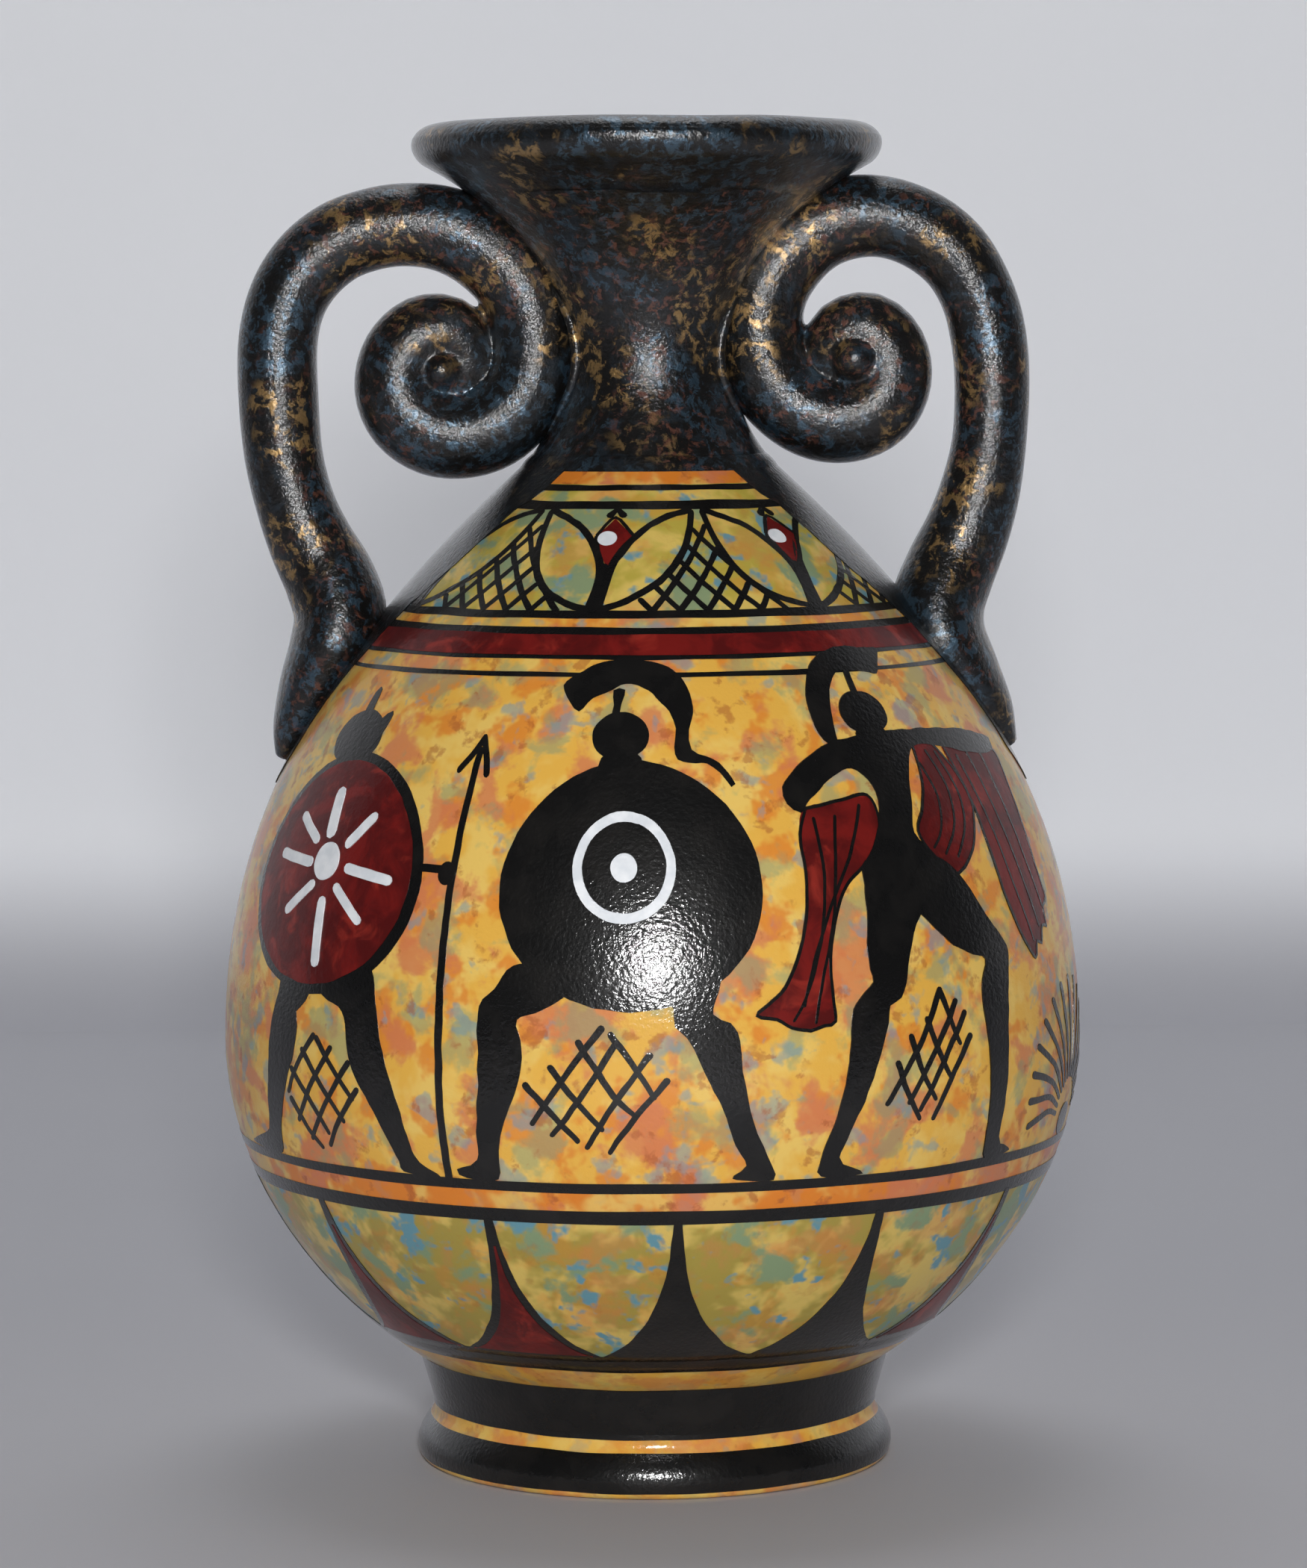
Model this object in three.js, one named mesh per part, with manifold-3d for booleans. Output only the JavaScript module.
// A small wheel-thrown amphora with two scroll handles, as a potter assembles it:
// a foot ring, a bowl and a shoulder thrown as two halves, a flared neck, a lip,
// two rolled handle coils, and the pads, coils and beads of soft clay that lute them.
// Millimetres, +Z up. The origin is the middle of the foot's flat underside.
// The handles lie along X, and the painted front faces -Y.

import * as THREE from 'three';
import { mergeVertices } from 'three/addons/utils/BufferGeometryUtils.js';
import Module from 'manifold-3d';

// ---------------------------------------------------------------- driving dimensions

const slipGap = 0.3; // film of slip between two luted faces

const footRadius = 26.7; // widest ring of the foot
const footWaistRadius = 25; // hollow just above that ring
const footBoreRadius = 18.5; // recess under the foot
const footHeight = 9.5; // table to the underside of the bowl
const footRoundHeight = 1.6; // height of the foot's widest ring
const footWaistHeight = 5.6; // height of the hollow

const bodyHeight = 102.5; // underside of the bowl to the root of the neck
const bellyRadius = 48; // widest ring of the body, where its two halves join
const bellyRise = 38.5; // underside of the bowl to that ring
const bodyWall = 4; // wall of bowl and shoulder
const bowlStemRise = 1.9; // short upright stem of the bowl, just above the foot
const bowlFloor = 4.5; // thickness of the bowl's floor
const lapHeight = 2.6; // tongue of the bowl that stands inside the shoulder
const lapWall = 1.8; // thickness of that tongue

const neckHeight = 38; // root of the neck to the top of the lip
const neckBaseRadius = 14; // outline at the root of the neck
const neckSink = 2; // the neck stands this far below its root, inside a luting coil
const neckCoilWall = 1.8; // thickness of that luting coil at the root
const neckRadius = 9.2; // narrowest ring of the neck
const neckWaistRise = 12; // root of the neck to that ring
const neckWall = 3;

const lipRadius = 26.2; // widest ring of the lip
const lipHalfThickness = 2.6; // half the height of its rounded edge
const lipRoundDepth = 3; // how far that rounding reaches in from the edge
const lipDepth = 8; // top of the lip down to the joint on the flared neck

const coilRadius = 4.3; // rolled clay of the handles
const archReach = 40; // middle of the coil at its furthest from the axis
const archLean = 1.2; // how much closer its root stands
const archDrop = 11; // top of the lip down to the middle of the coil at its highest
const rootDrop = 8; // root of the neck down to the flat end of the coil
const scrollDrop = 25.4; // top of the lip down to the middle of the scroll
const scrollRadius = 8; // middle of the scroll to the middle of its outer turn
const scrollBite = 1.6; // how far the scroll is pressed into the side of the neck
const padTailLength = 27; // how far the root pad runs down the shoulder
const padHalfWidth = 6.8; // half its width across the shoulder
const padStandOff = 3.4; // least it stands out from the shoulder before it tapers
const padBite = 2.5; // how far its back reaches past the shoulder's skin before it is cut to fit

const neckCoilRise = 0.4; // edge of the neck's luting coil that is left blunt
const footCoilSize = 2.8; // luting coil in the corner under the bowl
const beadRadius = 1.25; // bead of slip squeezed out beside each scroll
const beadSpan = 6.5; // half the height of a bead

const turnSegments = 36; // facets around every thrown piece
const curvePoints = 6; // points along each curve of an outline
const coilSides = 12; // facets around the handle coil
const eps = 1e-6;

// ---------------------------------------------------------------- materials

function finish(name, colour, roughness, metalness) {
  return new THREE.MeshStandardMaterial({ name, color: colour, roughness, metalness });
}

const ochreGlaze = () => finish('ochre_glaze', '#b08a38', 0.35, 0);
const blackLacquer = () => finish('black_lacquer', '#15130f', 0.22, 0.15);
const bareClay = () => finish('bare_clay', '#a8643c', 0.85, 0);

// ---------------------------------------------------------------- the outline

const at = (r, z) => new THREE.Vector2(r, z);

// Heights above the table, from the foot up.
const bellyHeight = footHeight + bellyRise;
const neckBaseHeight = footHeight + bodyHeight;
const neckJointHeight = neckBaseHeight - neckSink;
const neckWaistHeight = neckBaseHeight + neckWaistRise;
const totalHeight = neckBaseHeight + neckHeight;
const lipJointHeight = totalHeight - lipDepth;
const archRootHeight = neckBaseHeight - rootDrop;
const archTopHeight = totalHeight - archDrop;
const scrollCentreZ = totalHeight - scrollDrop;
const scrollCentreX = neckRadius + coilRadius - scrollBite + scrollRadius;
const neckStemRadius = neckBaseRadius - neckCoilWall;

// The outer outline of the vessel is a short stem and four smooth curves: bowl, shoulder, neck
// and flare.
const bowlBaseRadius = footWaistRadius + 0.15;
const bowlStemHeight = footHeight + bowlStemRise;
const bowlRise = bellyHeight - bowlStemHeight;
const shoulderRise = neckBaseHeight - bellyHeight;
const bellySwell = bellyRadius - bowlBaseRadius;
const shoulderFall = bellyRadius - neckBaseRadius;
const lipBottom = totalHeight - 2 * lipHalfThickness;
const lipMiddle = totalHeight - lipHalfThickness;
const flareRadius = lipRadius - 0.75 * lipRoundDepth;
const flareRise = lipBottom - neckWaistHeight;
const flareSpread = flareRadius - neckRadius;
const neckRise = neckWaistHeight - neckBaseHeight;

const bowlCurve = new THREE.CubicBezierCurve(
  at(bowlBaseRadius, bowlStemHeight),
  at(bowlBaseRadius + 0.54 * bellySwell, bowlStemHeight + 0.2 * bowlRise),
  at(bellyRadius, bowlStemHeight + 0.58 * bowlRise),
  at(bellyRadius, bellyHeight),
);

const shoulderCurve = new THREE.CubicBezierCurve(
  at(bellyRadius, bellyHeight),
  at(bellyRadius, bellyHeight + 0.36 * shoulderRise),
  at(neckBaseRadius + 0.735 * shoulderFall, bellyHeight + 0.64 * shoulderRise),
  at(neckBaseRadius, neckBaseHeight),
);

const neckCurve = new THREE.CubicBezierCurve(
  at(neckBaseRadius, neckBaseHeight),
  at(neckBaseRadius - 0.37 * (neckBaseRadius - neckRadius), neckBaseHeight + 0.17 * neckRise),
  at(neckRadius, neckBaseHeight + 0.54 * neckRise),
  at(neckRadius, neckWaistHeight),
);

const flareCurve = new THREE.CubicBezierCurve(
  at(neckRadius, neckWaistHeight),
  at(neckRadius, neckWaistHeight + 0.38 * flareRise),
  at(neckRadius + 0.39 * flareSpread, neckWaistHeight + 0.75 * flareRise),
  at(flareRadius, lipBottom),
);

const bowlFoot = at(bowlBaseRadius, footHeight);
const vesselOutline = [bowlCurve, shoulderCurve, neckCurve, flareCurve].reduce(
  (points, curve) => [...points, ...curve.getPoints(4 * curvePoints)],
  [bowlFoot],
);

// Radius of the vessel's outside at a height.
function outlineRadius(z) {
  const above = vesselOutline.findIndex((point, i) => i > 0 && point.y >= z && vesselOutline[i - 1].y <= z);
  const low = vesselOutline[Math.max(above, 1) - 1];
  const high = vesselOutline[Math.max(above, 1)];
  const rise = Math.max(high.y - low.y, eps);
  return low.x + ((high.x - low.x) * (z - low.y)) / rise;
}

// The same curve moved square to itself, towards the inside of the wall.
function innerSide(points, wall) {
  return points.map((point, i) => {
    const before = points[Math.max(i - 1, 0)];
    const after = points[Math.min(i + 1, points.length - 1)];
    const along = after.clone().sub(before).normalize();
    return at(point.x - along.y * wall, point.y + along.x * wall);
  });
}

// ---------------------------------------------------------------- solids

// A ring turned from a closed section, listed with the outside going up.
function thrown(section) {
  return thrownSolid([...section, section[0]]);
}

// A solid of revolution whose section starts and ends on the axis.
function thrownSolid(section) {
  const geometry = new THREE.LatheGeometry(section, turnSegments);
  geometry.rotateX(Math.PI / 2);
  return geometry;
}

const wasm = await Module();
wasm.setup();

function toSolid(geometry) {
  const bare = geometry.clone();
  for (const name of Object.keys(bare.attributes)) {
    if (name !== 'position') bare.deleteAttribute(name);
  }
  const merged = mergeVertices(bare, 1e-4);
  const index = merged.index.array;
  const corners = [];
  for (let i = 0; i < index.length; i += 3) {
    const [a, b, c] = [index[i], index[i + 1], index[i + 2]];
    if (a !== b && b !== c && a !== c) corners.push(a, b, c);
  }
  const solid = new wasm.Manifold(
    new wasm.Mesh({
      numProp: 3,
      vertProperties: new Float32Array(merged.attributes.position.array),
      triVerts: new Uint32Array(corners),
    }),
  );
  return solid;
}

function toGeometry(solid) {
  const mesh = solid.getMesh();
  const geometry = new THREE.BufferGeometry();
  const stride = mesh.numProp;
  const count = mesh.vertProperties.length / stride;
  const positions = new Float32Array(count * 3);
  for (let i = 0; i < count; i += 1) {
    for (let k = 0; k < 3; k += 1) positions[3 * i + k] = mesh.vertProperties[stride * i + k];
  }
  geometry.setAttribute('position', new THREE.BufferAttribute(positions, 3));
  geometry.setIndex(new THREE.BufferAttribute(new Uint32Array(mesh.triVerts), 1));
  geometry.computeVertexNormals();
  return geometry;
}

// A round bar of clay along a smooth path.
function rolled(path, radius, steps) {
  const section = new THREE.Shape();
  for (let i = 0; i < coilSides; i += 1) {
    const angle = (2 * Math.PI * i) / coilSides;
    const corner = at(radius * Math.cos(angle), radius * Math.sin(angle));
    if (i === 0) section.moveTo(corner.x, corner.y);
    else section.lineTo(corner.x, corner.y);
  }
  return new THREE.ExtrudeGeometry(section, { steps, extrudePath: path, bevelEnabled: false });
}

const group = new THREE.Group();

function place(name, geometry, material) {
  const mesh = new THREE.Mesh(geometry, material);
  mesh.name = name;
  group.add(mesh);
  return mesh;
}

// ---------------------------------------------------------------- foot

function footRing() {
  const bead = new THREE.SplineCurve([
    at(footRadius - 1.1, 0),
    at(footRadius - 0.1, 0.35 * footRoundHeight),
    at(footRadius, footRoundHeight),
    at(footRadius - 0.35, 0.5 * (footRoundHeight + footWaistHeight)),
    at(footWaistRadius, footWaistHeight),
    at(bowlBaseRadius, footHeight),
  ]).getPoints(curvePoints);
  return thrown([at(footBoreRadius, 0), ...bead, at(footBoreRadius, footHeight)]);
}

// A coil pressed into the corner between the foot ring and the bowl.
function footLutingCoil() {
  const outer = footBoreRadius - slipGap;
  const hollow = new THREE.QuadraticBezierCurve(
    at(outer - footCoilSize, footHeight),
    at(outer - 0.75 * footCoilSize, footHeight - 0.75 * footCoilSize),
    at(outer, footHeight - footCoilSize),
  ).getPoints(4);
  return thrown([...hollow, at(outer, footHeight)]);
}

// ---------------------------------------------------------------- body

const tongueOuter = bellyRadius - bodyWall + lapWall;

function bowl() {
  const outside = [bowlFoot, ...bowlCurve.getPoints(2 * curvePoints)];
  const floorHeight = footHeight + bowlFloor;
  const inside = innerSide(outside, bodyWall).filter((point) => point.y > floorHeight + 1);
  const corner = inside[0];
  const section = [
    at(0, footHeight),
    ...outside,
    at(tongueOuter, bellyHeight),
    at(tongueOuter, bellyHeight + lapHeight),
    at(bellyRadius - bodyWall, bellyHeight + lapHeight),
    ...inside.reverse(),
    at(corner.x - 2.5, floorHeight),
    at(0, floorHeight),
  ];
  return thrownSolid(section);
}

function shoulder() {
  const outside = shoulderCurve.getPoints(2 * curvePoints).filter((point) => point.y < neckJointHeight - 0.8);
  const stepHeight = bellyHeight + lapHeight + slipGap;
  const topBore = neckStemRadius - neckWall;
  const inside = innerSide(outside, bodyWall).filter(
    (point) => point.y > stepHeight + 0.8 && point.x > topBore + 0.8,
  );
  const section = [
    ...outside,
    at(outlineRadius(neckJointHeight), neckJointHeight),
    at(topBore, neckJointHeight),
    at(topBore, inside[inside.length - 1].y + 0.6),
    ...inside.reverse(),
    at(bellyRadius - bodyWall, stepHeight),
    at(tongueOuter + slipGap, stepHeight),
    at(tongueOuter + slipGap, bellyHeight),
  ];
  return thrown(section);
}

// ---------------------------------------------------------------- neck and lip

function neckAndFlare() {
  const flare = flareCurve.getPoints(2 * curvePoints).slice(1);
  const outline = [...neckCurve.getPoints(curvePoints), ...flare];
  const clearOfStem = (point) => point.y > neckWaistHeight || point.x < neckStemRadius - 0.1;
  const onOutline = outline.filter((point) => clearOfStem(point) && point.y < lipJointHeight - 0.5);
  const outside = [
    at(neckStemRadius, neckJointHeight),
    at(neckStemRadius, stemTop()),
    ...onOutline,
    at(outlineRadius(lipJointHeight), lipJointHeight),
  ];
  const waist = onOutline.filter((point) => point.y < lipJointHeight - neckWall);
  const inside = innerSide(waist, neckWall);
  return thrown([
    ...outside,
    at(flareBore(), lipJointHeight),
    ...inside.reverse(),
    at(neckStemRadius - neckWall, neckJointHeight),
  ]);
}

// Height where the outline has closed in to the straight stub of the neck.
function stemTop() {
  const above = neckCurve.getPoints(4 * curvePoints).find((point) => point.x <= neckStemRadius);
  return above.y;
}

// Radius of the mouth's opening where the lip stands on the neck.
function flareBore() {
  return outlineRadius(lipJointHeight) - 1.45 * neckWall;
}

// A fillet of clay around the root of the neck.
function neckLutingCoil() {
  const inner = neckStemRadius + slipGap;
  const neckPart = neckCurve.getPoints(2 * curvePoints).slice(1);
  const outline = [...shoulderCurve.getPoints(4 * curvePoints), ...neckPart];
  const hollow = outline.filter(
    (point) => point.y > neckJointHeight + 0.2 && point.x > inner + neckCoilRise,
  );
  const last = hollow[hollow.length - 1];
  return thrown([
    at(outlineRadius(neckJointHeight), neckJointHeight),
    ...hollow,
    at(inner, last.y),
    at(inner, neckJointHeight),
  ]);
}

function lip() {
  const middle = at(lipRadius - lipRoundDepth, lipMiddle);
  const edge = new THREE.EllipseCurve(
    middle.x, middle.y, lipRoundDepth, lipHalfThickness, -0.28 * Math.PI, 0.5 * Math.PI, false, 0,
  ).getPoints(curvePoints);
  const underside = flareCurve.getPoints(2 * curvePoints).filter(
    (point) => point.y > lipJointHeight + 0.3 && point.y < edge[0].y - 0.2,
  );
  const mouth = new THREE.QuadraticBezierCurve(
    at(middle.x - 1, totalHeight),
    at(flareBore() + 2.2, totalHeight - 1.2),
    at(flareBore(), lipJointHeight),
  ).getPoints(curvePoints);
  return thrown([at(outlineRadius(lipJointHeight), lipJointHeight), ...underside, ...edge, ...mouth]);
}

// ---------------------------------------------------------------- handles

const across = (x, z) => new THREE.Vector3(x, 0, z);

// Middle of the rolled coil: up from the root, over the arch and down into the scroll.
// It leaves the root straight up, so its end is level with the top of the pad.
function archPoints() {
  const straight = scrollCentreZ - archRootHeight;
  const side = [
    across(archReach - archLean, archRootHeight),
    across(archReach - archLean, archRootHeight + 0.05 * straight),
    across(archReach - 0.3, archRootHeight + 0.35 * straight),
    across(archReach, archRootHeight + 0.72 * straight),
  ];
  const innerX = scrollCentreX - scrollRadius;
  const bendX = 0.5 * (archReach + innerX);
  const bendZ = scrollCentreZ;
  const halfSpan = 0.5 * (archReach - innerX);
  const rise = archTopHeight - bendZ;
  const over = [];
  const steps = 8;
  for (let i = 0; i <= steps; i += 1) {
    const angle = (Math.PI * i) / steps;
    over.push(across(bendX + halfSpan * Math.cos(angle), bendZ + rise * Math.sin(angle)));
  }
  return [...side, ...over];
}

// The outer half turn of the scroll, from the neck side round underneath to the arch side.
function scrollPoints() {
  const points = [];
  const steps = 7;
  for (let i = 1; i <= steps; i += 1) {
    const angle = Math.PI + (1.12 * Math.PI * i) / steps;
    const radius = scrollRadius - (0.14 * scrollRadius * i) / steps;
    points.push(across(scrollCentreX + radius * Math.cos(angle), scrollCentreZ + radius * Math.sin(angle)));
  }
  return points;
}

function coilPath() {
  return new THREE.CatmullRomCurve3([...archPoints(), ...scrollPoints()], false, 'centripetal');
}

// The handle's whole outside, fattened by an extra allowance where it must clear a neighbour.
// The tight end of the coil is one round eye that fills the middle of the scroll.
function coilSolid(extra) {
  const radius = coilRadius + extra;
  const outer = toSolid(rolled(coilPath(), radius, 46));
  const eye = new THREE.SphereGeometry(1.06 * radius, coilSides, 8);
  eye.translate(scrollCentreX + 0.1 * scrollRadius, 0, scrollCentreZ + 0.12 * scrollRadius);
  return outer.add(toSolid(eye));
}

// Everything inside the vessel's outside skin, grown by an allowance, as one plug.
function vesselPlug(allowance) {
  const low = footHeight + 1;
  const high = lipBottom - 1;
  const outside = [];
  const steps = 30;
  for (let i = 0; i <= steps; i += 1) {
    const z = low + ((high - low) * i) / steps;
    outside.push(at(outlineRadius(z) + allowance, z));
  }
  const section = [at(0, low), ...outside, at(0, high)];
  const geometry = new THREE.LatheGeometry(section, turnSegments);
  geometry.rotateX(Math.PI / 2);
  return toSolid(geometry);
}

const plug = vesselPlug(slipGap);

function handle() {
  return coilSolid(0).subtract(plug);
}

// The clay that joins the coil's lower end to the shoulder, wide at first and then a tail.
function rootPad() {
  const top = archRootHeight - slipGap;
  const bottom = archRootHeight - padTailLength;
  const rings = 12;
  const sides = 16;
  const flareShare = 0.22;
  const thinnest = 0.6;
  const positions = [];
  const triangles = [];
  const coilOuter = archReach - archLean + coilRadius;
  for (let i = 0; i <= rings; i += 1) {
    const t = i / rings;
    const z = top + (bottom - top) * t;
    const skin = outlineRadius(z);
    const swell = Math.sin(Math.PI * Math.min(1, 1.15 * t) ** 0.9);
    const taper = Math.sqrt(Math.max(1 - t, 0.004));
    const flare = THREE.MathUtils.smoothstep(t, 0, flareShare);
    const outer = Math.max(skin + padStandOff * taper, coilOuter - 2 * t * t);
    const inner = THREE.MathUtils.lerp(coilOuter - 2 * coilRadius, skin - padBite, flare);
    const middle = 0.5 * (outer + inner);
    const halfDepth = 0.5 * (outer - inner);
    const widened = coilRadius + 1.6 * (padHalfWidth - coilRadius) * swell;
    const halfWidth = Math.max(widened * taper, thinnest);
    for (let k = 0; k < sides; k += 1) {
      const angle = (2 * Math.PI * k) / sides;
      positions.push(middle + halfDepth * Math.cos(angle), halfWidth * Math.sin(angle), z);
    }
  }
  for (let i = 0; i < rings; i += 1) {
    for (let k = 0; k < sides; k += 1) {
      const next = (k + 1) % sides;
      const [a, b, c, d] = [i * sides + k, i * sides + next, (i + 1) * sides + k, (i + 1) * sides + next];
      triangles.push(a, c, b, b, c, d);
    }
  }
  const topMiddle = positions.length / 3;
  positions.push(coilOuter - coilRadius, 0, top);
  const bottomMiddle = topMiddle + 1;
  positions.push(positions[3 * rings * sides] - 0.5, 0, bottom);
  for (let k = 0; k < sides; k += 1) {
    const next = (k + 1) % sides;
    triangles.push(topMiddle, k, next);
    triangles.push(bottomMiddle, rings * sides + next, rings * sides + k);
  }
  const geometry = new THREE.BufferGeometry();
  geometry.setAttribute('position', new THREE.Float32BufferAttribute(positions, 3));
  geometry.setIndex(triangles);
  return toSolid(geometry).subtract(plug);
}

// A bead in the crease between neck and scroll, on the front face (side -1) or the back (+1).
function scrollBead(side) {
  const points = [];
  const steps = 8;
  for (let i = 0; i <= steps; i += 1) {
    const z = scrollCentreZ + beadSpan * (-1 + (2 * i) / steps);
    const neckReach = outlineRadius(z) + 0.5 * beadRadius;
    const drop = (z - scrollCentreZ) / scrollRadius;
    const coilX = scrollCentreX - scrollRadius * Math.sqrt(Math.max(1 - drop * drop, 0));
    const coilReach = coilRadius + 0.5 * beadRadius;
    const x = (coilX * coilX + neckReach * neckReach - coilReach * coilReach) / (2 * coilX);
    const y = Math.sqrt(Math.max(neckReach * neckReach - x * x, 1));
    points.push(new THREE.Vector3(x, side * y, z));
  }
  const path = new THREE.CatmullRomCurve3(points, false, 'centripetal');
  return toSolid(rolled(path, beadRadius, 14)).subtract(plug).subtract(coilSolid(slipGap));
}

// ---------------------------------------------------------------- assembly

place('foot_ring', footRing(), blackLacquer());
place('foot_luting_coil', footLutingCoil(), bareClay());
place('bowl', bowl(), ochreGlaze());
place('shoulder', shoulder(), ochreGlaze());
place('neck', neckAndFlare(), blackLacquer());
place('neck_luting_coil', neckLutingCoil(), blackLacquer());
place('lip', lip(), blackLacquer());

// Both handles are the same solid, turned half a circle about the vessel's axis.
const sides = [
  { word: 'right', turn: 0 },
  { word: 'left', turn: Math.PI },
];
const handleGeometry = toGeometry(handle());
const padGeometry = toGeometry(rootPad());
const beadGeometries = [
  { face: 'a', geometry: toGeometry(scrollBead(-1)) },
  { face: 'b', geometry: toGeometry(scrollBead(1)) },
];
for (const { word, turn } of sides) {
  place(`${word}_handle`, handleGeometry.clone(), blackLacquer()).rotation.z = turn;
  place(`${word}_root_pad`, padGeometry.clone(), blackLacquer()).rotation.z = turn;
  for (const { face, geometry } of beadGeometries) {
    place(`${word}_scroll_bead_${face}`, geometry.clone(), blackLacquer()).rotation.z = turn;
  }
}

export default group;
